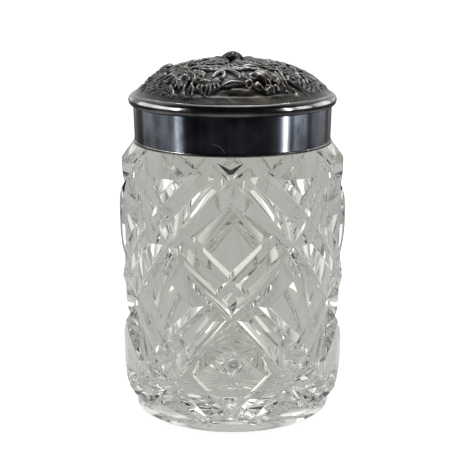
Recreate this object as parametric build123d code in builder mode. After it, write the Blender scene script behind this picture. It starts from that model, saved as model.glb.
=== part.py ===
from build123d import *

import math
import os

# Powder jar: a thick cut-glass jar with a slip-on repousse metal lid.
# Millimetres. +Z is up, the origin is the centre of the base, and a column of
# full diamonds faces -Y.

# --- Glass jar: overall ---
BODY_RADIUS = 32.0  # at BODY_MIDDLE, over the uncut faces of the diamonds
BODY_MIDDLE = 57.0
BODY_TAPER = 0.0125  # radius lost per millimetre downwards
FOOT_RADIUS = 28.1
FOOT_HEIGHT = 2.4
CHAMFER_TOP = 6.6
SHOULDER_BOTTOM = 70.4
SHOULDER_RADIUS = 27.9
SHOULDER_TOP = 76.2
NECK_RADIUS = 26.4
NECK_TOP = 88.0
NECK_BORE = 23.0
BODY_BORE = 24.3
BORE_BOTTOM = 8.5
BORE_SHOULDER_BOTTOM = 70.0
BORE_SHOULDER_TOP = 74.0
BORE_CORNER = 5.0
LIP_ROUND = 0.9
FOOT_ROUND = 0.35

# --- Glass jar: the diamond lattice ---
# Bands climb the wall both ways at 45 degrees. Each band is a flat land with a narrow
# groove along its upper side and a wide, deep groove along its lower side, and the
# uncut glass between bands is a big diamond. Offsets run downhill across a band.
COLUMNS = 5
LATTICE_CENTRE = 57.2  # midway between the two band crossings over and under a diamond
ROW_HALF = 19.25  # half the height from one full diamond to the next below it
BAND_SPACING_HALF = 13.75
NARROW_FAR = -6.1  # where the narrow groove meets the diamond above
NARROW_BOTTOM = -4.2
LAND_UPPER = -2.4
LAND_LOWER = 0.5
WIDE_BOTTOM = 4.1
WIDE_FAR = 8.4  # where the wide groove meets the diamond below
NARROW_RADIUS = 30.2
LAND_RADIUS = 31.0
WIDE_RADIUS = 28.3
CUTTER_RADIUS = 34.2
SECTIONS_PER_CROSSING = 4  # cutter sections between one crossing and the next

# --- Glass jar: the star cut under the base ---
STAR_RAYS = 20
STAR_INNER = 1.2
STAR_DEEPEST = 17.0
STAR_OUTER = 24.5
STAR_DEPTH = 1.5
STAR_HALF_WIDTH = 2.2
STAR_OVERCUT = 0.5

# --- Lid ---
BAND_RADIUS_TOP = 27.7
BAND_RADIUS_BOTTOM = 27.45
BAND_WALL = 0.7
LIP_WIRE_HEIGHT = 0.8
LIP_WIRE_RADIUS = 27.75
BEAD_BOTTOM = 86.4
BEAD_RADIUS = 29.0
BEAD_TOP = 89.8
BEAD_WIDEST = 88.2
DOME_SEAT = 88.9
SHEET = 0.8
DOME_BORDER = (25.0, 91.9)  # where the plain sloping border meets the relief
DOME_SHOULDER = (20.4, 95.7)
DOME_UPPER = (11.5, 98.6)
DOME_CROWN = 99.6
BUD_RADIUS = 3.0
BUD_TOP = 101.5

os.makedirs("parts", exist_ok=True)


def on_cylinder(radius, column, height):
    """The point at a radius and height, with the column in half-columns from -Y."""
    angle = math.radians(column * 180 / COLUMNS - 90)
    return Vector(radius * math.cos(angle), radius * math.sin(angle), height)


def solid_of_triangles(corner_sets):
    faces = [Face(Wire.make_polygon(corners, close=True)) for corners in corner_sets]
    return Solid(Shell(faces))


def band_section(along, hand):
    """One cross-section of a band's cutter, as points from the diamond above to the one below."""
    clear = CUTTER_RADIUS - BODY_RADIUS
    narrow_slope = (NARROW_FAR - NARROW_BOTTOM) / (BODY_RADIUS - NARROW_RADIUS)
    wide_slope = (WIDE_FAR - WIDE_BOTTOM) / (BODY_RADIUS - WIDE_RADIUS)
    profile = [
        (NARROW_FAR + clear * narrow_slope, CUTTER_RADIUS),
        (NARROW_BOTTOM, NARROW_RADIUS),
        (LAND_UPPER, LAND_RADIUS),
        (LAND_LOWER, LAND_RADIUS),
        (WIDE_BOTTOM, WIDE_RADIUS),
        (WIDE_FAR + clear * wide_slope, CUTTER_RADIUS),
    ]
    points = []
    for offset, radius in profile:
        across = 1 - hand * offset / BAND_SPACING_HALF
        column = (across + along) / 2
        height = LATTICE_CENTRE + hand * ROW_HALF * (across - along) / 2
        tapered = radius + BODY_TAPER * (height - BODY_MIDDLE)
        # The grooves run out above the plain foot.
        points.append(on_cylinder(max(tapered, FOOT_RADIUS + 0.1), column, height))
    return points


def band_cutter(hand, first, last):
    """What the wheel takes away along one band that climbs by hand, +1 or -1."""
    count = (last - first) * SECTIONS_PER_CROSSING // 2
    sections = [band_section(first + (last - first) * i / count, hand) for i in range(count + 1)]
    triangles = []
    for near, far in zip(sections, sections[1:]):
        for i in range(len(near)):
            j = (i + 1) % len(near)
            triangles.append((near[i], near[j], far[j]))
            triangles.append((near[i], far[j], far[i]))
    for end in (sections[0], sections[-1]):
        middle = (end[0] + end[-1]) * 0.4 + (end[2] + end[3]) * 0.1
        for i in range(len(end)):
            triangles.append((end[i], end[(i + 1) % len(end)], middle))
    return solid_of_triangles(triangles)


def star_ray():
    """One ray of the star, a long pyramid whose point is its deepest place."""
    deepest = Vector(STAR_DEEPEST, 0, STAR_DEPTH)
    grow = (STAR_DEPTH + STAR_OVERCUT) / STAR_DEPTH
    outline = [
        Vector(STAR_INNER, 0, 0),
        Vector(STAR_DEEPEST, -STAR_HALF_WIDTH, 0),
        Vector(STAR_OUTER, 0, 0),
        Vector(STAR_DEEPEST, STAR_HALF_WIDTH, 0),
    ]
    rim = [deepest + (point - deepest) * grow for point in outline]
    sides = [(rim[i], rim[(i + 1) % 4], deepest) for i in range(4)]
    return solid_of_triangles(sides + [(rim[0], rim[1], rim[2]), (rim[0], rim[2], rim[3])])


def body_radius(height):
    return BODY_RADIUS + BODY_TAPER * (height - BODY_MIDDLE)


# The bands run from above the shoulder to below the foot.
rising_cutter = band_cutter(1, -2, 8)
falling_cutter = band_cutter(-1, -6, 4)
ray_cutter = star_ray()

with BuildPart() as glass_jar:
    with BuildSketch(Plane.XZ) as jar_wall:
        with BuildLine():
            Polyline(
                (0, 0),
                (FOOT_RADIUS, 0),
                (FOOT_RADIUS, FOOT_HEIGHT),
                (body_radius(CHAMFER_TOP), CHAMFER_TOP),
                (body_radius(SHOULDER_BOTTOM), SHOULDER_BOTTOM),
                (SHOULDER_RADIUS, SHOULDER_TOP),
                (NECK_RADIUS, SHOULDER_TOP),
                (NECK_RADIUS, NECK_TOP),
                (NECK_BORE, NECK_TOP),
                (NECK_BORE, BORE_SHOULDER_TOP),
                (BODY_BORE, BORE_SHOULDER_BOTTOM),
                (BODY_BORE, BORE_BOTTOM),
                (0, BORE_BOTTOM),
                close=True,
            )
        make_face()
        corners = jar_wall.vertices()
        fillet(corners.filter_by(lambda v: v.Y == NECK_TOP), LIP_ROUND)
        fillet(corners.filter_by(lambda v: v.X == FOOT_RADIUS and v.Y == 0), FOOT_ROUND)
        fillet(corners.filter_by(lambda v: v.X > 0 and v.Y == BORE_BOTTOM), BORE_CORNER)
    revolve(axis=Axis.Z)
    with PolarLocations(0, COLUMNS):
        add([rising_cutter, falling_cutter], mode=Mode.SUBTRACT)
    with PolarLocations(0, STAR_RAYS, start_angle=-90):
        add(ray_cutter, mode=Mode.SUBTRACT)
glass_jar.part.label = "glass_jar"
export_step(glass_jar.part, "parts/glass_jar.step")

with BuildPart() as lid_band:
    with BuildSketch(Plane.XZ):
        with BuildLine():
            Polyline(
                (BAND_RADIUS_BOTTOM, SHOULDER_TOP + LIP_WIRE_HEIGHT),
                (BAND_RADIUS_TOP, BEAD_BOTTOM),
                (BAND_RADIUS_TOP, DOME_SEAT),
                (BAND_RADIUS_TOP - BAND_WALL, DOME_SEAT),
                (BAND_RADIUS_TOP - BAND_WALL, BEAD_BOTTOM),
                (BAND_RADIUS_BOTTOM - BAND_WALL, SHOULDER_TOP + LIP_WIRE_HEIGHT),
                close=True,
            )
        make_face()
    revolve(axis=Axis.Z)
lid_band.part.label = "lid_band"
export_step(lid_band.part, "parts/lid_band.step")

with BuildPart() as band_wire:
    with BuildSketch(Plane.XZ) as wire_profile:
        with BuildLine():
            Polyline(
                (BAND_RADIUS_BOTTOM - BAND_WALL, SHOULDER_TOP),
                (LIP_WIRE_RADIUS, SHOULDER_TOP),
                (LIP_WIRE_RADIUS, SHOULDER_TOP + LIP_WIRE_HEIGHT),
                (BAND_RADIUS_BOTTOM - BAND_WALL, SHOULDER_TOP + LIP_WIRE_HEIGHT),
                close=True,
            )
        make_face()
        outer = wire_profile.vertices().filter_by(lambda v: v.X == LIP_WIRE_RADIUS)
        fillet(outer, LIP_WIRE_HEIGHT * 0.35)
    revolve(axis=Axis.Z)
band_wire.part.label = "band_wire"
export_step(band_wire.part, "parts/band_wire.step")

with BuildPart() as rim_bead:
    with BuildSketch(Plane.XZ):
        with BuildLine():
            Line((BAND_RADIUS_TOP, BEAD_TOP), (BAND_RADIUS_TOP, BEAD_BOTTOM))
            ThreePointArc(
                (BAND_RADIUS_TOP, BEAD_BOTTOM),
                (BEAD_RADIUS, BEAD_WIDEST),
                (BAND_RADIUS_TOP, BEAD_TOP),
            )
        make_face()
    revolve(axis=Axis.Z)
rim_bead.part.label = "rim_bead"
export_step(rim_bead.part, "parts/rim_bead.step")

with BuildPart() as lid_dome:
    with BuildSketch(Plane.XZ) as dome_profile:
        with BuildLine():
            border_edge = (BAND_RADIUS_TOP, BEAD_TOP)
            Line((BAND_RADIUS_TOP, DOME_SEAT), border_edge)
            Line(border_edge, DOME_BORDER)
            Spline(
                DOME_BORDER,
                DOME_SHOULDER,
                DOME_UPPER,
                (0, DOME_CROWN),
                tangents=[(-1, 0.5), (-1, 0)],
            )
            Line((0, DOME_CROWN), (0, DOME_CROWN - SHEET))
            Spline(
                (0, DOME_CROWN - SHEET),
                (DOME_UPPER[0], DOME_UPPER[1] - SHEET),
                (DOME_SHOULDER[0] - SHEET * 0.6, DOME_SHOULDER[1] - SHEET),
                (DOME_BORDER[0] - SHEET * 0.6, DOME_BORDER[1] - SHEET),
                tangents=[(1, 0), (1, -0.5)],
            )
            Polyline(
                (DOME_BORDER[0] - SHEET * 0.6, DOME_BORDER[1] - SHEET),
                (BAND_RADIUS_TOP - BAND_WALL, DOME_SEAT),
                (BAND_RADIUS_TOP, DOME_SEAT),
            )
        make_face()
    revolve(axis=Axis.Z)
    bud_radius = (BUD_RADIUS**2 + (BUD_TOP - DOME_CROWN) ** 2) / (2 * (BUD_TOP - DOME_CROWN))
    with BuildSketch(Plane.XZ):
        with BuildLine():
            Line((0, DOME_CROWN - SHEET / 2), (BUD_RADIUS, DOME_CROWN - SHEET / 2))
            Line((BUD_RADIUS, DOME_CROWN - SHEET / 2), (BUD_RADIUS, DOME_CROWN))
            RadiusArc((BUD_RADIUS, DOME_CROWN), (0, BUD_TOP), -bud_radius)
            Line((0, BUD_TOP), (0, DOME_CROWN - SHEET / 2))
        make_face()
    revolve(axis=Axis.Z)
lid_dome.part.label = "lid_dome"
export_step(lid_dome.part, "parts/lid_dome.step")
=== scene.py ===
import math

import bmesh
import bpy
import numpy as np
from mathutils import Matrix, Vector


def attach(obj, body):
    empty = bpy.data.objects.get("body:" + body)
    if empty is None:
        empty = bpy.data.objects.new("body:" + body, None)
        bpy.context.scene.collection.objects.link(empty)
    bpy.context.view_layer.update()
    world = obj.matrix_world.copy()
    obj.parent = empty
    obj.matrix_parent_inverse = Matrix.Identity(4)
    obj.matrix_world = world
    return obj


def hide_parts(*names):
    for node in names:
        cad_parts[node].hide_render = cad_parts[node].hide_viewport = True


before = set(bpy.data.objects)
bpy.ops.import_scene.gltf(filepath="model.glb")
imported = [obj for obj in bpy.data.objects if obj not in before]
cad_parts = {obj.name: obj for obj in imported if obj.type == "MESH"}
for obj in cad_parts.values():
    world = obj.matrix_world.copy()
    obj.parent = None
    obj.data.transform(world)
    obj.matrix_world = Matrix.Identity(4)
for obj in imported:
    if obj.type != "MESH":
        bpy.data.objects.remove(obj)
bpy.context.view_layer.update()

MM = 0.001  # sizes of the jar and the lid are in millimetres, and the meshes are in metres

# --- The glass wall, as the CAD part has it ---
BODY_RADIUS = 32.0
BODY_MIDDLE = 57.0
BODY_TAPER = 0.0125
FOOT_RADIUS = 28.1
FOOT_HEIGHT = 2.4
CHAMFER_TOP = 6.6
SHOULDER_BOTTOM = 70.4
SHOULDER_RADIUS = 27.9
SHOULDER_TOP = 76.2
NECK_RADIUS = 26.4
NECK_TOP = 88.0
NECK_BORE = 23.0
BODY_BORE = 24.3
BORE_BOTTOM = 8.5
BORE_SHOULDER_BOTTOM = 70.0
BORE_SHOULDER_TOP = 74.0
BORE_CORNER = 5.0
LIP_ROUND = 0.9
FOOT_ROUND = 0.35
BASE_RINGS = (0, 8, 16, 25)  # rings that keep the triangles of the flat base short
BORE_RING = 12
LATHE_STEPS = 288
SHARP_ANGLE = 24  # degrees between facets that keep a hard edge

# --- The diamond lattice: bands climb both ways, and offsets run downhill from a band's middle ---
COLUMNS = 5
DIAMOND_CENTRE = 57.2
ROW_HALF = 19.25  # half the height from one full diamond to the next below it
SPACING_HALF = 13.75  # half the distance between two bands that climb the same way
NARROW_FAR = -6.1  # where the narrow groove meets the diamond above
NARROW_BOTTOM = -4.2
LAND_UPPER = -2.4
LAND_LOWER = 0.5
WIDE_BOTTOM = 4.1
WIDE_FAR = 8.4  # where the wide groove meets the diamond below
LAND_RADIUS = 31.0
NARROW_RADIUS = 30.2
WIDE_RADIUS = 28.3
CUTTER_RADIUS = 34.5
CUTTER_MARGIN = 1.0  # how far a cutter runs past the outer edge of each groove
CUTTER_LIFT = 0.01  # how far its outline ends over the wall, so that it never grazes it
CUTTER_STEPS = 120
CUTTER_REACH = {1: (-2.2, 8.2), -1: (-6.2, 4.2)}  # both ends, past foot and shoulder, in half columns
CUTTER_FLOOR = FOOT_RADIUS + 0.1  # cutters go no deeper, so that the foot stays whole
CAP_OUTLINE = (8, 18)  # the outline's points at the narrow groove's bottom and the land's lower edge
CAP_SHARE = 0.2  # how far the middle of a cutter's end lies towards them
EDGE_ROUND = 0.16  # half the width of the polished edge along each cut
VALLEY_ROUND = 0.5  # the same along the bottom of the wide groove

# --- The star under the base ---
STAR_RAYS = 20
STAR_INNER = 1.2
STAR_DEEPEST = 17.0
STAR_OUTER = 24.5
STAR_DEPTH = 1.5
STAR_HALF_WIDTH = 2.2
STAR_OVERCUT = 0.5  # how far the cutters start under the base

# --- The lid: its outline follows the CAD part's, and the relief lies in it ---
DOME_EDGE = (27.7, 89.8)
DOME_PROFILE = (  # the highest metal, from the border to the middle
    (25.0, 91.9),
    (23.0, 93.9),
    (20.4, 95.7),
    (16.5, 97.3),
    (11.5, 98.6),
    (5.5, 99.45),
    (0.0, 99.6),
)
DOME_TOP = DOME_PROFILE[-1][1]
BORDER_RADIUS, BORDER_HEIGHT = DOME_PROFILE[0]  # the plain sloping border runs from here to the edge
GROUND_DEPTH = 1.05  # how far the background of the relief lies below the highest metal
GROUND_EDGE = 25.4  # the radius where the background meets the border
GROUND_FADE = 3.4  # the width over which it sinks to its full depth
BORDER_SHARE = 0.42  # how much of a motif's height is left on the border
RELIEF_EDGE = 26.8  # nothing is raised outside this radius
SHEET = 0.5  # its thickness
BACK_SHARE = 0.8  # how much of the relief shows inside
BACK_INSET = 0.35  # how far the back lies inside the outer edge, outside radius BACK_INSET_FROM
BACK_INSET_FROM = 20
RELIEF_SCALE = 1.45  # the metal stands this many times as high as the motifs below say
BUD_RADIUS = 3.0
BUD_TOP = 101.15
DOME_TURNS = 640
MOTIF_RINGS = (0.35, 24.9, 104)  # first radius, last radius and how many
BORDER_RINGS = (25.1, DOME_EDGE[0], 12)
BACK_STEP = 2  # the back has every second point of the outside

# --- How the motifs of the lid are shaped ---
CURVE_SPANS = 4  # straight pieces between two points of a ridge
LEAF_SPANS = 8
PROFILE_SPANS = 12
PETAL_LOBES = 5
PETAL_LOBE_DEPTH = 0.07
PETAL_FOLDS = 11
PETAL_FOLD_DEPTH = 0.16
LEAF_RIB_SLANT = 0.7
LEAF_RIB_DEPTH = 0.22
LEAF_SCALLOP = 0.14
RIDGE_WIDTH = 1.6  # the foot of a ridge is this many times as wide as the tables say
RIDGE_CREASE = 0.42
WHORL_BLADES = 7
WHORL_HEIGHT = 0.6
STIPPLE_HEIGHT = 0.05
SWELL_HEIGHT = 0.12
CHASED_HEIGHT = 0.22

# --- How the relief attribute is made, oxide with painted shade in the hollows and a painted highlight on the rims: 0.5 is level ground ---
SHADE_LEVEL = 0.5
SHADE_NEAR = (3, 0.42)  # reach in steps, and weight
SHADE_WIDE = (8, 0.38)
SHADE_BORDER = 0.12  # the plain border is this much brighter
SHADE_BUD_TOP = 0.8
SHADE_BACK = 0.1

# --- The scratch on the band, in metres ---
SCRATCH_CENTRE = (-0.0049, -0.0275, 0.0759)
SCRATCH_RADIUS = 0.0037
SCRATCH_WIDTH = 0.00008
SCRATCH_RISE = 0.0012  # the ring shows only from this far over its centre
SCRATCH_COLOUR = (0.4, 0.4, 0.42)

# --- Materials ---
GLASS_IOR = 1.52
GLASS_TINT = (0.945, 0.95, 0.91)
GLASS_SMEAR_SCALE = 60
GLASS_SMEARS = (0.45, 0.75)  # the noise where a smear begins and where it is full
GLASS_SMEAR_ROUGHNESS = 0.03
SILVER_TONES = ((0.35, (0.05, 0.05, 0.05)), (0.7, (0.19, 0.187, 0.18)))  # (noise, colour)
SILVER_ROUGHNESS = 0.18
SILVER_TARNISH_SCALE = 90
BAND_TONES = ((0.35, (0.005, 0.006, 0.009)), (0.64, (0.1, 0.11, 0.13)))
BAND_ROUGHNESS = (0.2, 0.3)
BAND_CLOUD_SCALE = 62
BAND_STREAK_SCALE = 700
BAND_STREAK_STRETCH = (1, 1, 0.04)  # the streaks run upright, 25 times as long as wide
BAND_STREAK_SHARE = 0.22
RELIEF_WEAR = 0.3
RELIEF_WEAR_SCALE = 260
RELIEF_ROUGHNESS = (0.42, 0.16)  # in the hollows and on the highs
RELIEF_TONES = (  # (relief attribute of oxide with painted shade and painted highlight, with its wear, colour)
    (0.5, (0.006, 0.006, 0.006)),
    (0.6, (0.028, 0.028, 0.027)),
    (0.76, (0.082, 0.083, 0.079)),
    (1.0, (0.33, 0.33, 0.32)),
)
BLOOM_SCALE = 75
BLOOM_PATCHES = (0.56, 0.72)
BLOOM_STRENGTH = 0.8
BLOOM_COLOUR = (0.95, 0.75, 0.6)

# --- The camera, in metres ---
CAMERA_DISTANCE = 0.330
CAMERA_HEIGHT = 0.13124
CAMERA_PITCH = 13.80  # degrees below the horizon
CAMERA_TURN = 1.0  # degrees round the jar from -Y towards +X
LENS = 92.79078  # millimetres, like SENSOR
SENSOR = 36.0  # its height
LENS_SHIFT = -0.0097826087  # sideways, as a share of the image's height

# --- The stage, in metres ---
FLOOR_SIZE = 3.0  # half its width
FLOOR_HEIGHT = -0.00005  # a thin air gap under the foot
FLOOR_ROUGHNESS = 0.9
FLOOR_ALBEDO = (0.9, 0.12, 0.12)  # seen straight, in the metal and through the glass
FLOOR_GLOW_STRAIGHT = 0.8
FLOOR_GLOW_MIRRORED = (0.07, 0.22, 0.8, 0.03)  # distance from, distance to, glow from, glow to
FLOOR_GLOW_THROUGH = 0.41
WALL_STRAIGHT = 1.0
WALL_PATCH_SCALE = 2.3
WALL_PATCHES = (0.4, 0.6, 0.36, 1.0)  # noise from, noise to, brightness from, brightness to
WALL_BEHIND = (-0.5, 0.75, 0.26, 1.0)  # the same by how far a direction points away from the camera
WALL_MIRRORED = (0.0, 0.95, 0.03, 0.9)  # the same by how far it points along WALL_TILT
WALL_TILT = (0, 0.9, 0.3)
LIGHT_DISTANCE = 0.9
LIGHT_TARGET = 0.05  # the height that the lights face
METAL_LIGHTS = (  # name, azimuth and elevation in degrees, (width, height), watts
    ("key_strip", 63, 12, (0.05, 0.6), 11),
    ("right_box", 84, 14, (0.3, 0.5), 4.2),
    ("left_strip", -62, 14, (0.12, 0.5), 6.5),
    ("left_box", -94, 14, (0.95, 0.5), 8.5),
    ("far_right", 118, 14, (0.5, 0.5), 3.2),
    ("top_box", 180, 62, (0.5, 0.4), 2.2),
)
OPEN_LIGHTS = (  # the same, for weak lights that fall on everything
    ("back_left", -148, 6, (0.16, 0.3), 0.14),
    ("back_right", 148, 6, (0.16, 0.3), 0.14),
    ("side_right", 80, 20, (0.2, 0.4), 0.16),
    ("side_left", -75, 20, (0.2, 0.4), 0.16),
    ("glass_top", 180, 62, (0.5, 0.4), 0.6),
)
BOUNCES = 32
GLASS_BOUNCES = 24


# ---------------------------------------------------------------- mesh helpers


def new_object(name, mesh):
    piece = bpy.data.objects.new(name, mesh)
    bpy.context.scene.collection.objects.link(piece)
    return piece


def mesh_from(name, points, faces):
    mesh = bpy.data.meshes.new(name)
    mesh.from_pydata([tuple(p) for p in points], [], [tuple(int(i) for i in f) for f in faces])
    mesh.validate()
    mesh.update()
    return mesh


def lathe(name, profile, steps):
    """A closed solid of revolution. The profile runs from the axis round to the axis, in mm."""
    points, rings = [], []
    for radius, height in profile:
        if radius < 1e-6:
            rings.append([len(points)])
            points.append((0, 0, height * MM))
            continue
        start = len(points)
        for i in range(steps):
            angle = 2 * math.pi * i / steps
            points.append((radius * MM * math.cos(angle), radius * MM * math.sin(angle), height * MM))
        rings.append(list(range(start, start + steps)))
    faces = []
    for low, high in zip(rings, rings[1:]):
        for i in range(steps):
            j = (i + 1) % steps
            if len(low) == 1:
                faces.append((low[0], high[j], high[i]))
            elif len(high) == 1:
                faces.append((low[i], low[j], high[0]))
            else:
                faces.append((low[i], low[j], high[j], high[i]))
    return mesh_from(name, points, faces)


def arc(centre, radius, start, end, steps):
    """Points of an arc, in degrees, as (r, z)."""
    return [
        (
            centre[0] + radius * math.cos(math.radians(start + (end - start) * i / steps)),
            centre[1] + radius * math.sin(math.radians(start + (end - start) * i / steps)),
        )
        for i in range(steps + 1)
    ]


def face_outwards(mesh):
    bm = bmesh.new()
    bm.from_mesh(mesh)
    bmesh.ops.recalc_face_normals(bm, faces=bm.faces)
    bm.to_mesh(mesh)
    bm.free()


def evaluated(piece):
    """The piece's mesh with its modifiers applied."""
    bpy.context.view_layer.update()
    depsgraph = bpy.context.evaluated_depsgraph_get()
    return bpy.data.meshes.new_from_object(piece.evaluated_get(depsgraph), depsgraph=depsgraph)


def smooth_by_angle(mesh, degrees):
    mesh.shade_smooth()
    mesh.set_sharp_from_angle(angle=math.radians(degrees))


# ---------------------------------------------------------------- the glass


def body_radius(height):
    return BODY_RADIUS + BODY_TAPER * (height - BODY_MIDDLE)


def band_profile():
    """The outline of what the wheel takes away across one band, as (offset, radius).

    Each corner is a short parabola, so that every cut has a narrow polished edge.
    """
    corners = [
        (NARROW_FAR - CUTTER_MARGIN, BODY_RADIUS),
        (NARROW_FAR, BODY_RADIUS),
        (NARROW_BOTTOM, NARROW_RADIUS),
        (LAND_UPPER, LAND_RADIUS),
        (LAND_LOWER, LAND_RADIUS),
        (WIDE_BOTTOM, WIDE_RADIUS),
        (WIDE_FAR, BODY_RADIUS),
        (WIDE_FAR + CUTTER_MARGIN, BODY_RADIUS),
    ]
    points = []
    for before, corner, after in zip(corners, corners[1:], corners[2:]):
        slope_in = (corner[1] - before[1]) / (corner[0] - before[0])
        slope_out = (after[1] - corner[1]) / (after[0] - corner[0])
        rounding = VALLEY_ROUND if corner[0] == WIDE_BOTTOM else EDGE_ROUND
        for step in (-1.0, -0.5, 0.0, 0.5, 1.0):
            offset = step * rounding
            straight = slope_in if offset < 0 else slope_out
            bend = (slope_out - slope_in) * rounding * (1 - abs(step)) ** 2 / 4
            points.append((corner[0] + offset, corner[1] + straight * offset + bend))
    first, last = points[0], points[-1]
    points[0] = (first[0], first[1] + CUTTER_LIFT)
    points[-1] = (last[0], last[1] + CUTTER_LIFT)
    return [(first[0], CUTTER_RADIUS)] + points + [(last[0], CUTTER_RADIUS)]


def band_cutters(hand):
    """The cutters whose bands climb one way (1 or -1), as separate closed solids in one mesh."""
    profile = np.array(band_profile())
    count, steps = len(profile), CUTTER_STEPS
    along = np.linspace(*CUTTER_REACH[hand], steps + 1)[:, None]
    across = 1 - hand * profile[None, :, 0] / SPACING_HALF
    column = (across + along) / 2
    height = DIAMOND_CENTRE + hand * ROW_HALF * (across - along) / 2
    radius = profile[None, :, 1] + BODY_TAPER * (height - BODY_MIDDLE)
    radius = np.maximum(radius, CUTTER_FLOOR)
    points, faces = [], []
    for k in range(COLUMNS):
        start = len(points)
        angle = np.radians((column + 2 * k) * 180 / COLUMNS - 90)
        grid = np.stack([radius * np.cos(angle), radius * np.sin(angle), height], -1) * MM
        points += [tuple(p) for p in grid.reshape(-1, 3)]
        for i in range(steps):
            for j in range(count):
                n = (j + 1) % count
                a, b = start + i * count + j, start + i * count + n
                faces.append((a, b, b + count, a + count))
        for i in (0, steps):
            ring = [start + i * count + j for j in range(count)]
            middle = len(points)
            outside, inside = grid[i, [0, -1]].mean(0), grid[i, list(CAP_OUTLINE)].mean(0)
            points.append(tuple(outside * (1 - CAP_SHARE) + inside * CAP_SHARE))
            faces += [(ring[j], ring[(j + 1) % count], middle) for j in range(count)]
    mesh = mesh_from("band_cutters", points, faces)
    face_outwards(mesh)
    return mesh


def star_rays():
    """The rays of the star as separate closed pyramids that point up into the base."""
    points, faces = [], []
    grow = (STAR_DEPTH + STAR_OVERCUT) / STAR_DEPTH
    outline = [
        (STAR_INNER, 0),
        (STAR_DEEPEST, -STAR_HALF_WIDTH),
        (STAR_OUTER, 0),
        (STAR_DEEPEST, STAR_HALF_WIDTH),
    ]
    for k in range(STAR_RAYS):
        turn = Matrix.Rotation(math.radians(-90 + 360 * k / STAR_RAYS), 3, "Z")
        start = len(points)
        for x, y in outline:
            along = STAR_DEEPEST + (x - STAR_DEEPEST) * grow
            points.append(turn @ (Vector((along, y * grow, STAR_DEPTH * (1 - grow))) * MM))
        points.append(turn @ (Vector((STAR_DEEPEST, 0, STAR_DEPTH)) * MM))
        faces.append((start, start + 1, start + 2, start + 3))
        faces += [(start + i, start + (i + 1) % 4, start + 4) for i in range(4)]
    mesh = mesh_from("star_rays", points, faces)
    face_outwards(mesh)
    return mesh


def jar_profile():
    """The uncut jar, from the middle of the base round to the middle of the bore's floor."""
    outer = [(radius, 0) for radius in BASE_RINGS] + [(FOOT_RADIUS - FOOT_ROUND, 0)]
    outer += arc((FOOT_RADIUS - FOOT_ROUND, FOOT_ROUND), FOOT_ROUND, -90, 0, 4)[1:]
    outer += [(FOOT_RADIUS, FOOT_HEIGHT)]
    outer += [(body_radius(CHAMFER_TOP), CHAMFER_TOP)]
    outer += [(body_radius(SHOULDER_BOTTOM), SHOULDER_BOTTOM)]
    outer += [(SHOULDER_RADIUS, SHOULDER_TOP), (NECK_RADIUS, SHOULDER_TOP)]
    outer += arc((NECK_RADIUS - LIP_ROUND, NECK_TOP - LIP_ROUND), LIP_ROUND, 0, 90, 6)
    inner = arc((NECK_BORE + LIP_ROUND, NECK_TOP - LIP_ROUND), LIP_ROUND, 90, 180, 6)
    inner += [(NECK_BORE, BORE_SHOULDER_TOP), (BODY_BORE, BORE_SHOULDER_BOTTOM)]
    inner += arc((BODY_BORE - BORE_CORNER, BORE_BOTTOM + BORE_CORNER), BORE_CORNER, 0, -90, 10)
    inner += [(BORE_RING, BORE_BOTTOM), (0, BORE_BOTTOM)]
    return outer + inner


def make_glass():
    """The whole jar as one solid, with both lattices and the star cut out of it."""
    body = new_object("glass_body", lathe("glass_body", jar_profile(), LATHE_STEPS))
    face_outwards(body.data)
    tools = [
        new_object("rising_tool", band_cutters(1)),
        new_object("falling_tool", band_cutters(-1)),
        new_object("ray_tool", star_rays()),
    ]
    for tool in tools:
        cut = body.modifiers.new(tool.name, "BOOLEAN")
        cut.operation = "DIFFERENCE"
        cut.object = tool
        cut.solver = "MANIFOLD"
    mesh = evaluated(body)
    for tool in tools + [body]:
        bpy.data.objects.remove(tool)
    mesh.name = "cut_glass_jar"
    piece = new_object("cut_glass_jar", mesh)
    smooth_by_angle(mesh, SHARP_ANGLE)
    even = piece.modifiers.new("even_normals", "WEIGHTED_NORMAL")
    even.keep_sharp = True
    even.weight = 90
    return piece


# ---------------------------------------------------------------- the repousse lid

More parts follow.
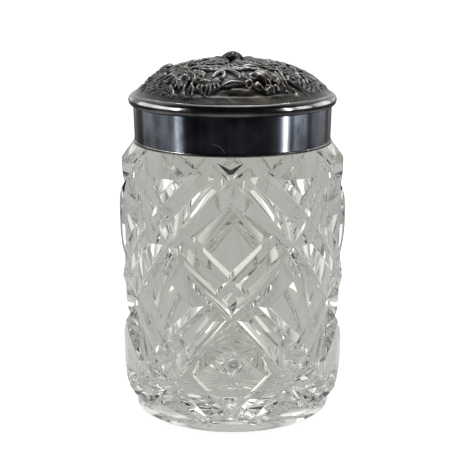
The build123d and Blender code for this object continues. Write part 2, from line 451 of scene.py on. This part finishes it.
# Every motif is drawn on the plan of the lid, x to the right and y to the back, in mm.
# Ridges: the points of a curve, the half width and the height.
RIDGES = (
    # stems and hooks round the left poppy
    (((-13.8, -12.2), (-11.9, -13.0), (-10.3, -15.2), (-9.8, -17.9), (-10.6, -19.8),
      (-11.3, -22.6)), 0.55, 0.75),
    (((-15.6, -11.6), (-13.4, -11.2), (-11.2, -12.0), (-9.4, -14.0), (-8.4, -16.6)), 0.35, 0.5),
    (((-16.0, -10.6), (-17.9, -10.8), (-19.6, -11.4), (-20.1, -13.0), (-19.2, -15.4)), 0.45, 0.75),
    (((-17.8, -8.9), (-19.8, -9.2), (-21.2, -10.6), (-21.3, -13.2)), 0.4, 0.65),
    (((-20.0, -6.8), (-22.0, -7.2), (-23.0, -9.0), (-22.7, -11.4)), 0.4, 0.6),
    (((-14.8, -17.9), (-15.9, -18.6), (-17.0, -19.1)), 0.36, 0.95),
    (((-16.9, -19.2), (-15.7, -22.0), (-14.4, -20.4)), 0.3, 0.5),
    (((-20.8, -15.4), (-19.2, -15.6), (-17.8, -17.0)), 0.6, 0.6),
    (((-16.2, -17.2), (-15.4, -19.8), (-15.6, -21.7)), 0.42, 0.9),
    (((-12.2, -19.0), (-12.6, -21.2), (-12.1, -23.6)), 0.42, 0.9),
    (((-10.6, -19.4), (-10.0, -21.6), (-10.4, -24.2)), 0.34, 0.8),
    (((16.4, -17.6), (17.2, -18.6), (17.2, -20.2)), 0.34, 0.7),
    (((18.8, -16.2), (20.0, -16.8), (20.4, -17.8)), 0.34, 0.7),
    # the fingers of the fringed leaf
    (((-8.6, -20.2), (-9.0, -21.2), (-8.7, -22.4)), 0.34, 0.55),
    (((-7.6, -20.9), (-7.9, -22.2), (-7.4, -23.6)), 0.36, 0.7),
    (((-6.7, -21.2), (-6.4, -22.4), (-6.9, -24.4)), 0.3, 0.6),
    (((-5.9, -21.0), (-5.4, -22.8), (-5.6, -24.3)), 0.34, 0.7),
    (((-4.8, -21.1), (-4.3, -22.4), (-4.5, -23.9)), 0.3, 0.6),
    (((-3.8, -20.9), (-3.2, -22.0), (-3.4, -23.2)), 0.28, 0.5),
    (((-8.9, -19.3), (-7.2, -19.2), (-5.6, -20.0), (-4.0, -19.6), (-2.6, -20.4)), 0.4, 0.7),
    (((-6.4, -19.9), (-5.6, -18.9), (-4.8, -18.6)), 0.28, 0.55),
    (((-4.9, -20.2), (-4.0, -19.2), (-3.2, -18.9)), 0.28, 0.55),
    # the rippled lip of the right poppy, and the stems beside it
    (((6.5, -21.8), (7.2, -21.1), (8.1, -21.9), (9.2, -22.7), (9.8, -21.6), (10.9, -20.6)), 0.34, 1.0),
    (((12.4, -10.8), (13.2, -12.6), (14.0, -15.2), (15.0, -17.9)), 0.36, 0.65),
    (((11.5, -12.0), (12.6, -14.4), (13.5, -17.0), (14.4, -18.9)), 0.36, 0.6),
    # the scroll and the fringed leaf at the right
    (((15.3, -15.0), (15.3, -12.8), (16.4, -11.5), (17.8, -12.1), (17.9, -13.8),
      (16.8, -14.4)), 0.42, 0.8),
    (((17.6, -8.4), (18.8, -10.4), (19.4, -12.8), (18.9, -15.6)), 0.4, 0.75),
    (((18.8, -7.2), (20.2, -9.6), (20.6, -12.2), (20.1, -15.2)), 0.4, 0.75),
    (((19.6, -5.2), (21.2, -8.0), (21.9, -11.2), (21.5, -14.2)), 0.4, 0.75),
    (((21.0, -3.4), (22.4, -6.2), (22.9, -9.2)), 0.36, 0.6),
    # long stems flowing across the upper part
    (((-8.6, -11.6), (-6.3, -13.0), (-2.9, -13.9), (1.5, -13.6), (4.4, -12.4), (7.4, -12.3),
      (10.4, -12.9)), 0.45, 0.65),
    (((4.4, -17.0), (5.6, -15.9), (7.0, -13.9), (8.9, -13.2), (10.9, -14.0), (11.6, -12.8)), 0.4, 0.6),
    (((-4.9, -18.2), (-4.0, -16.2), (-2.7, -15.2), (-1.9, -16.4), (-2.4, -18.3),
      (-3.3, -19.3)), 0.42, 0.7),
    (((-0.8, -14.3), (1.0, -15.6), (2.1, -17.6), (1.9, -19.6)), 0.42, 0.6),
    (((-12.2, -9.6), (-9.0, -9.0), (-5.6, -10.2), (-2.0, -10.6), (1.6, -9.4)), 0.4, 0.55),
    (((2.6, -10.6), (5.4, -9.4), (8.6, -9.6), (11.0, -8.2), (13.6, -7.8)), 0.4, 0.55),
    (((13.2, -9.6), (14.8, -8.0), (15.4, -5.8), (17.2, -4.6)), 0.4, 0.6),
)
# Leaves: tip, belly, tip, half width, height, number of ribs. The middle is a crease.
LEAVES = (
    ((-2.8, -22.3), (0.4, -21.3), (3.6, -20.9), 1.25, 0.8, 0),
    ((-11.6, -12.4), (-9.0, -14.0), (-6.6, -16.3), 1.15, 0.75, 5),
    ((-17.6, -7.2), (-14.8, -6.2), (-11.6, -8.4), 1.4, 0.75, 6),
    ((-9.4, -18.9), (-6.2, -20.4), (-2.4, -20.4), 1.5, 0.6, 7),
    ((2.8, -14.9), (3.2, -17.2), (5.2, -18.9), 0.9, 0.55, 4),
    ((-15.0, -9.6), (-12.6, -10.6), (-10.8, -9.6), 0.8, 0.55, 4),
    ((14.0, -10.6), (16.4, -8.6), (17.0, -5.6), 1.1, 0.6, 5),
    ((-1.0, -4.8), (-3.4, -7.2), (-8.0, -7.6), 1.3, 0.7, 6),
    ((0.8, -4.6), (3.2, -7.4), (7.6, -8.0), 1.3, 0.7, 6),
    ((-4.8, -3.0), (-8.0, -4.9), (-12.0, -4.2), 1.3, 0.7, 6),
    ((4.6, -2.8), (8.2, -4.6), (12.2, -4.0), 1.3, 0.7, 6),
    ((-4.4, -9.6), (-1.0, -12.2), (2.6, -11.6), 1.0, 0.6, 5),
    ((9.4, -10.4), (12.0, -9.4), (13.6, -6.6), 0.9, 0.55, 5),
    ((-8.6, -10.6), (-6.6, -12.4), (-4.0, -12.0), 0.7, 0.5, 4),
    ((10.2, -23.4), (12.8, -22.2), (15.2, -20.2), 0.5, 0.4, 4),
    ((-13.6, -22.6), (-11.6, -23.4), (-9.2, -24.2), 0.4, 0.35, 4),
)
# Petals: middle, half width, half length, turn in degrees, height, how far the inside is dished.
PETALS = (
    ((-16.4, -14.9), 2.2, 2.9, -12, 1.15, 0.75),
    ((-12.7, -16.6), 2.0, 2.9, 8, 1.2, 0.7),
    ((-14.3, -12.9), 1.5, 1.4, 0, 0.8, 0.6),
    ((2.7, -23.6), 3.4, 1.25, 4, 0.4, 0.0),
    ((4.7, -21.0), 1.2, 1.8, 0, 1.0, 0.8),
    ((8.2, -16.9), 2.5, 2.5, -4, 1.25, 0.0),
    ((8.2, -18.0), 1.3, 1.2, 0, 1.5, 0.75),
    ((5.6, -17.6), 1.1, 1.7, 20, 0.95, 0.6),
    ((11.5, -16.4), 1.25, 2.2, 14, 1.1, 0.7),
    ((7.2, -21.4), 1.3, 1.5, 24, 1.0, 0.8),
    ((10.1, -21.2), 1.4, 1.4, -24, 1.05, 0.8),
    ((-2.2, -12.2), 1.1, 0.9, 20, 0.5, 0.6),
    ((-8.2, -16.6), 1.2, 1.5, 30, 0.7, 0.7),
    ((16.3, -13.6), 2.2, 2.2, 0, 0.8, 0.5),
)
# Round beads: middle, radius, height.
BEADS = (
    ((-18.0, -18.0), 0.65, 0.6),
    ((-14.4, -16.0), 0.7, 0.7),
    ((9.7, -18.7), 0.75, 0.9),
    ((10.4, -19.6), 0.4, 0.7),
    ((8.9, -19.4), 0.4, 0.7),
    ((11.8, -19.9), 0.95, 0.75),
    ((16.6, -13.2), 0.6, 0.8),
    ((18.0, -14.6), 0.6, 0.6),
    ((-13.0, -20.6), 0.45, 0.4),
    ((14.8, -19.6), 0.5, 0.45),
)
REPEATS = 3  # the whole group of flowers comes three times round the lid


def smooth_curve(points, per_span):
    """Points of a Catmull-Rom curve through the given points."""
    knots = [np.array(p, float) for p in points]
    knots = [2 * knots[0] - knots[1]] + knots + [2 * knots[-1] - knots[-2]]
    curve = []
    for a, b, c, d in zip(knots, knots[1:], knots[2:], knots[3:]):
        square, cube = 2 * a - 5 * b + 4 * c - d, 3 * b - a - 3 * c + d
        for i in range(per_span):
            t = i / per_span
            curve.append(0.5 * (2 * b + (c - a) * t + square * t**2 + cube * t**3))
    return np.array(curve + [knots[-2]])


def along_curve(x, y, points, per_span):
    """Distance to a smooth curve, which side of it, and how far along it (0 to 1)."""
    curve = smooth_curve(points, per_span)
    best = np.full(x.shape, np.inf)
    where = np.zeros(x.shape)
    side = np.ones(x.shape)
    spans = len(curve) - 1
    for i, (a, b) in enumerate(zip(curve, curve[1:])):
        run = b - a
        t = np.clip(((x - a[0]) * run[0] + (y - a[1]) * run[1]) / (run @ run), 0, 1)
        dx, dy = x - a[0] - t * run[0], y - a[1] - t * run[1]
        gap = np.hypot(dx, dy)
        nearer = gap < best
        best = np.where(nearer, gap, best)
        where = np.where(nearer, (i + t) / spans, where)
        side = np.where(nearer, np.sign(run[0] * dy - run[1] * dx), side)
    return best, side, where


def petal(x, y, middle, wide, long, turn, height, dish):
    """A domed petal with a wavy outline, dished and folded inside its rim."""
    c, s = math.cos(math.radians(turn)), math.sin(math.radians(turn))
    dx, dy = x - middle[0], y - middle[1]
    u, v = (dx * c + dy * s) / wide, (dy * c - dx * s) / long
    reach = np.hypot(u, v)
    turned = np.arctan2(u, v + 0.3)
    reach = reach * (1 + PETAL_LOBE_DEPTH * np.sin(PETAL_LOBES * turned + 3 * height))
    dome = np.sqrt(np.clip(1 - reach**2, 0, 1)) ** 0.8
    hollow = dish * np.exp(-((u / 0.66) ** 2) - ((v + 0.2) / 0.7) ** 2)
    folds = 1 + PETAL_FOLD_DEPTH * dish * np.sin(PETAL_FOLDS * turned) * np.clip(reach, 0, 1)
    return height * dome * (1 - hollow) * folds


def leaf(x, y, start, belly, end, wide, height, ribs):
    """A leaf with a crease, ribs that slant forward from it and scallops between them."""
    gap, side, t = along_curve(x, y, (start, belly, end), LEAF_SPANS)
    half = wide * np.sin(np.pi * np.clip(t, 0.001, 0.999)) ** 0.75 + 0.01
    if ribs:
        rib = np.cos(2 * np.pi * (ribs * t - LEAF_RIB_SLANT * gap / wide))
    else:
        rib = np.zeros(x.shape)
    across = np.clip(gap / (half * (1 + LEAF_SCALLOP * rib)), 0, 1)
    body = np.sqrt(1 - across**2) * (0.62 + 0.38 * across)
    return height * (body * np.where(side > 0, 1.0, 0.8) * (1 + LEAF_RIB_DEPTH * rib * across))


def ridge(x, y, points, wide, height):
    """A stem or a claw that tapers to both ends, with a crease along one side of its top."""
    gap, side, t = along_curve(x, y, points, CURVE_SPANS)
    taper = 0.12 + 0.88 * np.sin(np.pi * np.clip(0.12 + 0.88 * t, 0, 1)) ** 0.7
    half = RIDGE_WIDTH * wide * taper
    crease = 1 - RIDGE_CREASE * np.exp(-(((gap * side + 0.18 * half) / (0.24 * half)) ** 2))
    flank = np.clip(1 - (gap / half) ** 2, 0, 1) ** 0.8
    return height * flank * crease * np.where(side > 0, 1.0, 0.86)


def bead(x, y, middle, radius, height):
    """A round drop."""
    gap = np.hypot(x - middle[0], y - middle[1]) / radius
    return height * np.sqrt(np.clip(1 - gap**2, 0, 1))


def group_relief(x, y):
    """Height of one group of flowers over the ground, as the tables give it."""
    relief = np.zeros(x.shape)
    for motif, rows in ((petal, PETALS), (leaf, LEAVES), (ridge, RIDGES), (bead, BEADS)):
        for row in rows:
            relief = np.maximum(relief, motif(x, y, *row))
    return relief


def whorl(radius, angle):
    """The leaves that lie round the bud."""
    swirl = angle * WHORL_BLADES + 0.9 * np.sin(radius * 0.35)
    blade = np.abs(np.sin(swirl / 2)) ** 1.4
    inside = np.clip((7.6 - radius) / 1.2, 0, 1) * np.clip((radius - 2.4) / 0.8, 0, 1)
    return WHORL_HEIGHT * blade * inside


def stipple(x, y):
    """Fine punch marks all over the ground."""
    grain = np.sin(x * 7.1 + 1.3 * np.sin(y * 5.3)) * np.sin(y * 7.9 + 1.7 * np.sin(x * 4.7))
    return STIPPLE_HEIGHT * np.abs(grain)


def swell(x, y):
    """The slow unevenness of the stamped sheet."""
    across = np.sin(x * 1.1 + 2 * np.sin(y * 0.7))
    return SWELL_HEIGHT * across * np.sin(y * 1.3 + 1.5 * np.sin(x * 0.9))


def chased_lines(x, y, radius):
    """Lines that flow across the leaves near the middle of the lid, in patches."""
    flow = 1.9 * (x * 0.5 + y * 0.86) + 2.2 * np.sin(0.45 * x + 1.7) + 1.8 * np.sin(0.6 * y - 0.4)
    patch = np.clip(0.6 + np.sin(0.8 * x + 0.9) * np.sin(0.7 * y + 2.1), 0, 1)
    upper = np.clip((15.5 - radius) / 3, 0, 1) * np.clip((radius - 3.2) / 1.5, 0, 1)
    return CHASED_HEIGHT * (1 - np.abs(np.sin(flow))) ** 1.5 * patch * upper


def lid_relief(x, y):
    """Height of all the relief over the ground, in mm."""
    radius, angle = np.hypot(x, y), np.arctan2(x, -y)
    third = 2 * np.pi / REPEATS
    relief = np.zeros(x.shape)
    for k in (-1, 0, 1):  # a group and its two neighbours, which reach into its share of the lid
        turned = (angle + third / 2) % third - third / 2 + k * third
        relief = np.maximum(relief, group_relief(radius * np.sin(turned), -radius * np.cos(turned)))
    relief = np.maximum(relief, whorl(radius, angle))
    ground = stipple(x, y) * np.clip(1 - relief / 0.2, 0, 1)
    chased = chased_lines(x, y, radius)
    uneven = swell(x, y) * np.clip(radius / 8, 0, 1)
    border = np.clip((RELIEF_EDGE - radius) / 0.7, 0, 1)
    return (RELIEF_SCALE * relief + ground + chased + uneven) * border


def dome_height(radius):
    """The highest metal at each radius, from a smooth curve through DOME_PROFILE."""
    fine = smooth_curve(sorted(DOME_PROFILE), PROFILE_SPANS)
    return np.interp(radius, fine[:, 0], fine[:, 1])


def spread(values, reach):
    """Each place's average over its neighbours within reach steps, round and along the rings."""
    for axis in (0, 1):
        total = np.zeros(values.shape)
        for step in range(-reach, reach + 1):
            if axis == 1:
                total += np.roll(values, step, axis=1)
            else:
                rows = np.clip(np.arange(values.shape[0]) + step, 0, values.shape[0] - 1)
                total += values[rows]
        values = total / (2 * reach + 1)
    return values


def bud_rise(radius, angle):
    """The round bud in the middle, with shallow creases down its sides."""
    out = np.clip(radius / BUD_RADIUS, 0, 1)
    creases = 1 - 0.34 * np.abs(np.cos(4 * angle + radius * 0.6)) ** 6 * np.sin(np.pi * out)
    return (BUD_TOP - DOME_TOP) * np.sqrt(1 - out**2) * creases


def relief_shade(level, radius):
    """How far each place stands over or under its surroundings: oxide and painted shade in the
    hollows, a painted highlight on the rims.
    """
    near, wide = spread(level, SHADE_NEAR[0]), spread(level, SHADE_WIDE[0])
    shade = SHADE_LEVEL + SHADE_NEAR[1] * (level - near) + SHADE_WIDE[1] * (level - wide)
    plain = np.clip((radius - 24.8) / 0.8, 0, 1) * np.clip(1 - wide / 0.12, 0, 1)
    return shade + SHADE_BORDER * plain


def ring_faces(start, rows, columns):
    """Four-sided faces between rings of points that follow one another."""
    faces = []
    for i in range(rows - 1):
        a, b = start + i * columns, start + (i + 1) * columns
        for j in range(columns):
            n = (j + 1) % columns
            faces.append((a + j, a + n, b + n, b + j))
    return faces


def make_dome():
    """The stamped top as one closed sheet: relief outside, its softened back inside."""
    rings = np.concatenate([np.linspace(*MOTIF_RINGS), np.linspace(*BORDER_RINGS)])
    angle = np.arange(DOME_TURNS) / DOME_TURNS * 2 * np.pi - np.pi
    radius = rings[:, None] * np.ones(DOME_TURNS)[None, :]
    x, y = radius * np.sin(angle), -radius * np.cos(angle)

    # The outside.
    relief = lid_relief(x, y)
    ground = np.clip((GROUND_EDGE - radius) / GROUND_FADE, 0, 1) ** 0.8
    raised = relief * (BORDER_SHARE + (1 - BORDER_SHARE) * ground)
    slope = np.clip((radius - BORDER_RADIUS) / (DOME_EDGE[0] - BORDER_RADIUS), 0, 1)
    high = dome_height(np.minimum(radius, BORDER_RADIUS)) + (DOME_EDGE[1] - BORDER_HEIGHT) * slope
    rise = bud_rise(radius, angle)
    bud_foot = GROUND_DEPTH * (1 - np.clip(radius / BUD_RADIUS, 0, 1)) ** 0.3 * (radius < BUD_RADIUS)
    height = high + raised - GROUND_DEPTH * ground + rise + bud_foot
    # The relief attribute: oxide with painted shade in the hollows and a painted highlight on the
    # rims.
    shade = relief_shade(raised + np.where(radius < BUD_RADIUS, rise, 0), radius)
    points = [(0, 0, BUD_TOP)] + list(np.stack([x, y, height], -1).reshape(-1, 3))
    values = [SHADE_BUD_TOP] + list(shade.reshape(-1))
    faces = [(0, 1 + (j + 1) % DOME_TURNS, 1 + j) for j in range(DOME_TURNS)]
    faces += ring_faces(1, len(rings), DOME_TURNS)

    # The back.
    kept = list(range(0, len(rings), BACK_STEP))
    if kept[-1] != len(rings) - 1:
        kept.append(len(rings) - 1)
    start = len(points)
    columns = DOME_TURNS // BACK_STEP
    thin = (kept, slice(None, None, BACK_STEP))
    floor = high[thin] - GROUND_DEPTH - SHEET + BACK_SHARE * relief[thin] * ground[thin]
    back = np.where(radius[thin] > BORDER_RADIUS, height[thin] - SHEET, floor)
    reach = np.maximum(radius[thin] - BACK_INSET * (radius[thin] > BACK_INSET_FROM), 0.2)
    turn = angle[::BACK_STEP]
    points += list(np.stack([reach * np.sin(turn), -reach * np.cos(turn), back], -1).reshape(-1, 3))
    faces += [(a, d, c, b) for a, b, c, d in ring_faces(start, len(kept), columns)]
    middle = len(points)
    points.append((0, 0, high[0, 0] - GROUND_DEPTH - SHEET))
    faces += [(middle, start + j, start + (j + 1) % columns) for j in range(columns)]
    values += [SHADE_BACK] * (len(points) - len(values))

    # The edge, where each step of the back meets two of the outside.
    outer_edge = 1 + (len(rings) - 1) * DOME_TURNS
    inner_edge = start + (len(kept) - 1) * columns
    for j in range(columns):
        inner, inner_next = inner_edge + j, inner_edge + (j + 1) % columns
        first = outer_edge + j * BACK_STEP
        last = outer_edge + (j * BACK_STEP + BACK_STEP) % DOME_TURNS
        faces.append((first, first + 1, inner))
        faces.append((first + 1, last, inner_next, inner))

    mesh = mesh_from("repousse_dome", np.array(points) * MM, faces)
    face_outwards(mesh)
    mark = mesh.attributes.new("relief", "FLOAT", "POINT")
    mark.data.foreach_set("value", np.array(values, dtype=np.float32))
    mesh.shade_smooth()
    return new_object("repousse_dome", mesh)


# ---------------------------------------------------------------- shader helpers


def new_material(name):
    material = bpy.data.materials.new(name)
    material.use_nodes = True
    shader = material.node_tree.nodes["Principled BSDF"]
    return material, material.node_tree, shader


def feed(tree, socket, source):
    """Link a source to a socket, or set the socket when the source is a plain value."""
    if isinstance(source, bpy.types.NodeSocket):
        tree.links.new(source, socket)
    else:
        socket.default_value = source


def object_place(tree):
    return tree.nodes.new("ShaderNodeTexCoord").outputs["Object"]


def noise(tree, place, scale, detail=2.0, roughness=0.5):
    texture = tree.nodes.new("ShaderNodeTexNoise")
    texture.inputs["Scale"].default_value = scale
    texture.inputs["Detail"].default_value = detail
    texture.inputs["Roughness"].default_value = roughness
    tree.links.new(place, texture.inputs["Vector"])
    return texture.outputs["Fac"]


def mapped(tree, source, low, high, bottom, top, smooth=False):
    """A straight or smooth step of source, from bottom at low to top at high."""
    step = tree.nodes.new("ShaderNodeMapRange")
    if smooth:
        step.interpolation_type = "SMOOTHSTEP"
    for socket, value in (("From Min", low), ("From Max", high), ("To Min", bottom), ("To Max", top)):
        step.inputs[socket].default_value = value
    tree.links.new(source, step.inputs["Value"])
    return step.outputs["Result"]


def calculated(tree, operation, *values):
    node = tree.nodes.new("ShaderNodeMath")
    node.operation = operation
    for socket, value in zip(node.inputs, values):
        feed(tree, socket, value)
    return node.outputs["Value"]


def vector_calculated(tree, operation, output, place, second=None):
    node = tree.nodes.new("ShaderNodeVectorMath")
    node.operation = operation
    tree.links.new(place, node.inputs[0])
    if second:
        node.inputs[1].default_value = second
    return node.outputs[output]


def coloured(tree, source, *stops):
    """A colour ramp through (position, colour) stops."""
    ramp = tree.nodes.new("ShaderNodeValToRGB")
    elements = ramp.color_ramp.elements
    for element, (position, colour) in ((elements[0], stops[0]), (elements[1], stops[-1])):
        element.position = position
        element.color = (*colour, 1)
    for position, colour in stops[1:-1]:
        elements.new(position).color = (*colour, 1)
    tree.links.new(source, ramp.inputs["Fac"])
    return ramp.outputs["Color"]


def mixed_colour(tree, factor, first, second, blend="MIX"):
    mix = tree.nodes.new("ShaderNodeMix")
    mix.data_type = "RGBA"
    mix.blend_type = blend
    mix.inputs["B"].default_value = (*second, 1)
    tree.links.new(factor, mix.inputs["Factor"])
    tree.links.new(first, mix.inputs["A"])
    return mix.outputs["Result"]


# ---------------------------------------------------------------- materials


def glass_material():
    """Clear glass with a faint warm grey-green cast and a few soft smears."""
    material, tree, shader = new_material("cut_glass")
    shader.inputs["Transmission Weight"].default_value = 1.0
    shader.inputs["IOR"].default_value = GLASS_IOR
    shader.inputs["Base Color"].default_value = (*GLASS_TINT, 1)
    smears = noise(tree, object_place(tree), GLASS_SMEAR_SCALE)
    rough = mapped(tree, smears, *GLASS_SMEARS, 0.0, GLASS_SMEAR_ROUGHNESS)
    tree.links.new(rough, shader.inputs["Roughness"])
    return material


def silver_material():
    """Smooth oxidised silver for the bead and the wire."""
    material, tree, shader = new_material("oxidised_silver")
    shader.inputs["Metallic"].default_value = 1.0
    tarnish = noise(tree, object_place(tree), SILVER_TARNISH_SCALE, 6)
    colour = coloured(tree, tarnish, *SILVER_TONES)
    tree.links.new(colour, shader.inputs["Base Color"])
    rough = mapped(tree, tarnish, 0, 1, SILVER_ROUGHNESS * 0.7, SILVER_ROUGHNESS * 1.3)
    tree.links.new(rough, shader.inputs["Roughness"])
    return material


def scratch_mask(tree, place):
    """One long curved scratch: a quarter of a thin ring near the lower edge of the band."""
    gap = vector_calculated(tree, "DISTANCE", "Value", place, SCRATCH_CENTRE)
    mask = calculated(tree, "COMPARE", gap, SCRATCH_RADIUS, SCRATCH_WIDTH)
    split = tree.nodes.new("ShaderNodeSeparateXYZ")
    tree.links.new(place, split.inputs["Vector"])
    for axis, least in (("X", SCRATCH_CENTRE[0]), ("Z", SCRATCH_CENTRE[2] + SCRATCH_RISE)):
        beyond = calculated(tree, "GREATER_THAN", split.outputs[axis], least)
        mask = calculated(tree, "MULTIPLY", mask, beyond)
    return mask


def band_material():
    """Silver gone blue-black, polished round and round, so that lights stretch up and down it."""
    material, tree, shader = new_material("polished_band")
    shader.inputs["Metallic"].default_value = 1.0
    shader.inputs["Anisotropic"].default_value = 1.0
    shader.inputs["Anisotropic Rotation"].default_value = 0.25
    round_it = tree.nodes.new("ShaderNodeTangent")
    round_it.direction_type = "RADIAL"
    round_it.axis = "Z"
    tree.links.new(round_it.outputs["Tangent"], shader.inputs["Tangent"])
    place = object_place(tree)
    cloud = noise(tree, place, BAND_CLOUD_SCALE, 7, 0.62)
    # Fine upright streaks lie over the clouds.
    upright = vector_calculated(tree, "MULTIPLY", "Vector", place, BAND_STREAK_STRETCH)
    blend = tree.nodes.new("ShaderNodeMix")
    blend.inputs["Factor"].default_value = BAND_STREAK_SHARE
    tree.links.new(cloud, blend.inputs["A"])
    tree.links.new(noise(tree, upright, BAND_STREAK_SCALE, 3), blend.inputs["B"])
    colour = coloured(tree, blend.outputs["Result"], *BAND_TONES)
    colour = mixed_colour(tree, scratch_mask(tree, place), colour, SCRATCH_COLOUR)
    tree.links.new(colour, shader.inputs["Base Color"])
    tree.links.new(mapped(tree, cloud, 0, 1, *BAND_ROUGHNESS), shader.inputs["Roughness"])
    return material


def relief_material():
    """Silver oxidised dark in the hollows with painted shade there too, burnished on the highs with a
    painted highlight, with a brown bloom.
    """
    material, tree, shader = new_material("oxidised_relief")
    shader.inputs["Metallic"].default_value = 1.0
    place = object_place(tree)
    # The relief attribute: oxide with painted shade in the hollows and a painted highlight on the
    # rims, to which the wear noise is added below.
    high = tree.nodes.new("ShaderNodeAttribute")
    high.attribute_name = "relief"
    cloud = noise(tree, place, RELIEF_WEAR_SCALE, 5)
    shade_and_wear = calculated(tree, "MULTIPLY_ADD", cloud, RELIEF_WEAR, high.outputs["Fac"])
    colour = coloured(tree, shade_and_wear, *RELIEF_TONES)
    patch = mapped(tree, noise(tree, place, BLOOM_SCALE), *BLOOM_PATCHES, 0, BLOOM_STRENGTH)
    colour = mixed_colour(tree, patch, colour, BLOOM_COLOUR, "MULTIPLY")
    tree.links.new(colour, shader.inputs["Base Color"])
    tree.links.new(mapped(tree, shade_and_wear, 0.4, 1.0, *RELIEF_ROUGHNESS), shader.inputs["Roughness"])
    return material


# ---------------------------------------------------------------- stage


def make_camera():
    camera = bpy.data.cameras.new("camera")
    camera.sensor_fit = "VERTICAL"
    camera.sensor_height = SENSOR
    camera.lens = LENS
    camera.shift_x = LENS_SHIFT
    camera.clip_start = 0.01
    camera.clip_end = 20
    holder = new_object("camera", camera)
    turn = math.radians(CAMERA_TURN)
    holder.location = (
        CAMERA_DISTANCE * math.sin(turn),
        -CAMERA_DISTANCE * math.cos(turn),
        CAMERA_HEIGHT,
    )
    holder.rotation_euler = (math.radians(90 - CAMERA_PITCH), 0, turn)
    bpy.context.scene.camera = holder


def by_ray(tree, straight, mirrored, through):
    """A value that depends on how a ray comes: straight, off metal, or through glass."""
    path = tree.nodes.new("ShaderNodeLightPath")
    value = mirrored
    for kind, chosen in (
        ("Is Diffuse Ray", through),
        ("Is Transmission Ray", through),
        ("Is Camera Ray", straight),
    ):
        pick = tree.nodes.new("ShaderNodeMix")
        tree.links.new(path.outputs[kind], pick.inputs["Factor"])
        feed(tree, pick.inputs["A"], value)
        feed(tree, pick.inputs["B"], chosen)
        value = pick.outputs["Result"]
    return value


def make_floor():
    """Pale paper: near white to the camera, greyer through the glass, dark in the metal."""
    size, height = FLOOR_SIZE, FLOOR_HEIGHT
    floor_mesh = mesh_from(
        "floor",
        [(-size, -size, height), (size, -size, height), (size, size, height), (-size, size, height)],
        [(0, 1, 2, 3)],
    )
    floor = new_object("floor", floor_mesh)
    material, tree, shader = new_material("pale_paper")
    shader.inputs["Roughness"].default_value = FLOOR_ROUGHNESS
    shader.inputs["Emission Color"].default_value = (1, 1, 1, 1)
    paper = tree.nodes.new("ShaderNodeCombineColor")
    albedo = by_ray(tree, *FLOOR_ALBEDO)
    for channel in ("Red", "Green", "Blue"):
        tree.links.new(albedo, paper.inputs[channel])
    tree.links.new(paper.outputs["Color"], shader.inputs["Base Color"])
    where = tree.nodes.new("ShaderNodeNewGeometry").outputs["Position"]
    away = vector_calculated(tree, "LENGTH", "Value", where)
    mirrored = mapped(tree, away, *FLOOR_GLOW_MIRRORED, smooth=True)
    glow = by_ray(tree, FLOOR_GLOW_STRAIGHT, mirrored, FLOOR_GLOW_THROUGH)
    tree.links.new(glow, shader.inputs["Emission Strength"])
    floor_mesh.materials.append(material)


def make_world():
    """A pale studio with broad soft patches, darkest on the camera's side of the jar."""
    world = bpy.data.worlds.new("studio")
    bpy.context.scene.world = world
    world.use_nodes = True
    tree = world.node_tree
    where = tree.nodes.new("ShaderNodeTexCoord").outputs["Generated"]
    walls = noise(tree, where, WALL_PATCH_SCALE, 1.0)
    patches = mapped(tree, walls, *WALL_PATCHES, smooth=True)
    facing = tree.nodes.new("ShaderNodeSeparateXYZ")
    tree.links.new(where, facing.inputs["Vector"])
    behind = mapped(tree, facing.outputs["Y"], *WALL_BEHIND, smooth=True)
    through = calculated(tree, "MULTIPLY", patches, behind)
    tilt = vector_calculated(tree, "DOT_PRODUCT", "Value", where, WALL_TILT)
    mirrored = mapped(tree, tilt, *WALL_MIRRORED, smooth=True)
    background = tree.nodes["Background"]
    background.inputs["Color"].default_value = (1, 1, 1, 1)
    level = by_ray(tree, WALL_STRAIGHT, mirrored, through)
    tree.links.new(level, background.inputs["Strength"])


def area_light(name, azimuth, elevation, size, power):
    """A soft box that faces the jar. Azimuth is from -Y towards +X, in degrees."""
    light = bpy.data.lights.new(name, "AREA")
    light.shape = "RECTANGLE"
    light.size, light.size_y = size
    light.energy = power
    holder = new_object(name, light)
    a, e = math.radians(azimuth), math.radians(elevation)
    target = Vector((0, 0, LIGHT_TARGET))
    away = Vector((math.sin(a) * math.cos(e), -math.cos(a) * math.cos(e), math.sin(e)))
    holder.location = target + away * LIGHT_DISTANCE
    holder.rotation_euler = away.to_track_quat("Z", "Y").to_euler()
    return holder


def make_lights(metal):
    """Soft boxes. The strong ones light only the metal, as flags would keep them off the glass."""
    lit = bpy.data.collections.new("lit_metal")
    for piece in metal:
        lit.objects.link(piece)
    for row in METAL_LIGHTS:
        area_light(*row).light_linking.receiver_collection = lit
    for row in OPEN_LIGHTS:
        area_light(*row)


def set_view():
    """Plain colours, and enough bounces for light to find its way out of the cut glass."""
    scene = bpy.context.scene
    scene.view_settings.view_transform = "Standard"
    scene.cycles.max_bounces = BOUNCES
    scene.cycles.glossy_bounces = GLASS_BOUNCES
    scene.cycles.transmission_bounces = GLASS_BOUNCES


# ---------------------------------------------------------------- the jar


make_camera()
make_floor()
make_world()
set_view()

glass = make_glass()
glass.data.materials.clear()
glass.data.materials.append(glass_material())
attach(glass, "jar")
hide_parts("glass_jar")

dome = make_dome()
dome.data.materials.append(relief_material())
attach(dome, "lid")
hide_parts("lid_dome")

dark_silver = silver_material()
metal_nodes = {"rim_bead": dark_silver, "lid_band": band_material(), "band_wire": dark_silver}
for node, material in metal_nodes.items():
    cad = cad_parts[node]
    cad.data.materials.clear()
    cad.data.materials.append(material)

make_lights([dome] + [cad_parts[node] for node in metal_nodes])
